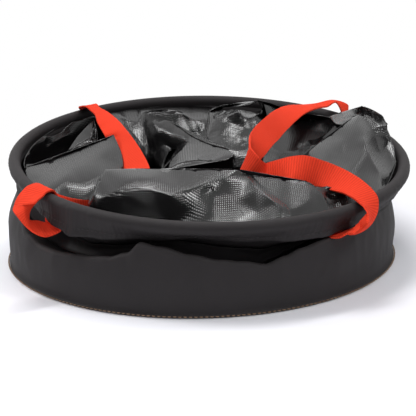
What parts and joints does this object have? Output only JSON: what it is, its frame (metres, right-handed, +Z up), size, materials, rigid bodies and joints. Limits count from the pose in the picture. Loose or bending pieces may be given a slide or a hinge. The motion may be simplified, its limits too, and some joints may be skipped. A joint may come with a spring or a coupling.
{
  "type": "collapsible bucket",
  "caption": "Round collapsible camp bucket of coated fabric with a hooped rim and webbing loop handles, shown pushed down flat.",
  "frame": {"origin": "middle of the underside of the round base, on the floor", "axes": "+Z up out of the open top, -Y towards the side where the rim dips lowest, +X to the right of that side"},
  "size_m": [0.4183, 0.4116, 0.1414],
  "materials": {
    "coated_fabric": "satin",
    "matte_fabric": "matte",
    "webbing": "matte",
    "thread": "matte",
    "hoop_plastic": "matte"
  },
  "bodies": {
    "tub": {"base_panel": "matte_fabric", "base_binding": "matte_fabric", "base_stitching": "thread", "lower_wall": "matte_fabric", "wall_seam_tape": "coated_fabric"},
    "folding_wall": {"folded_wall": "coated_fabric"},
    "rim": {"rim_hoop": "hoop_plastic", "hoop_joiner": "hoop_plastic", "rim_hem": "matte_fabric", "hem_stitching": "thread", "left_front_tail": "webbing", "left_front_tack": "thread", "left_rear_tail": "webbing", "left_rear_tack": "thread", "right_front_tail": "webbing", "right_front_tack": "thread", "right_rear_tail": "webbing", "right_rear_tack": "thread"},
    "left_handle": {"left_handle": "webbing"},
    "right_handle": {"right_handle": "webbing"}
  },
  "joints": [
    {"name": "rim_lift", "type": "slide", "parent": "tub", "child": "folding_wall", "axis": [0, 0, 1], "range_m": [0, 0.19], "deforming": ["folded_wall"]},
    {"name": "rim_level", "type": "hinge", "parent": "folding_wall", "child": "rim", "pos_m": [0.01, 0.005, 0.1024], "axis": [-0.9744, -0.225, 0], "range_deg": [0, 7.28]},
    {"name": "left_handle_swing", "type": "hinge", "parent": "rim", "child": "left_handle", "pos_m": [-0.11875, 0.01368, 0.08599], "axis": [-0.1009, -0.9857, -0.1353], "range_deg": [0, 100], "deforming": ["left_handle"]},
    {"name": "right_handle_swing", "type": "hinge", "parent": "rim", "child": "right_handle", "pos_m": [0.13462, -0.00331, 0.07807], "axis": [0.074, 0.9886, 0.1309], "range_deg": [0, 100], "deforming": ["right_handle"]}
  ],
  "couplings": [
    {"joint": "rim_level", "follows": "rim_lift", "rad_per_m": 0.6678}
  ]
}
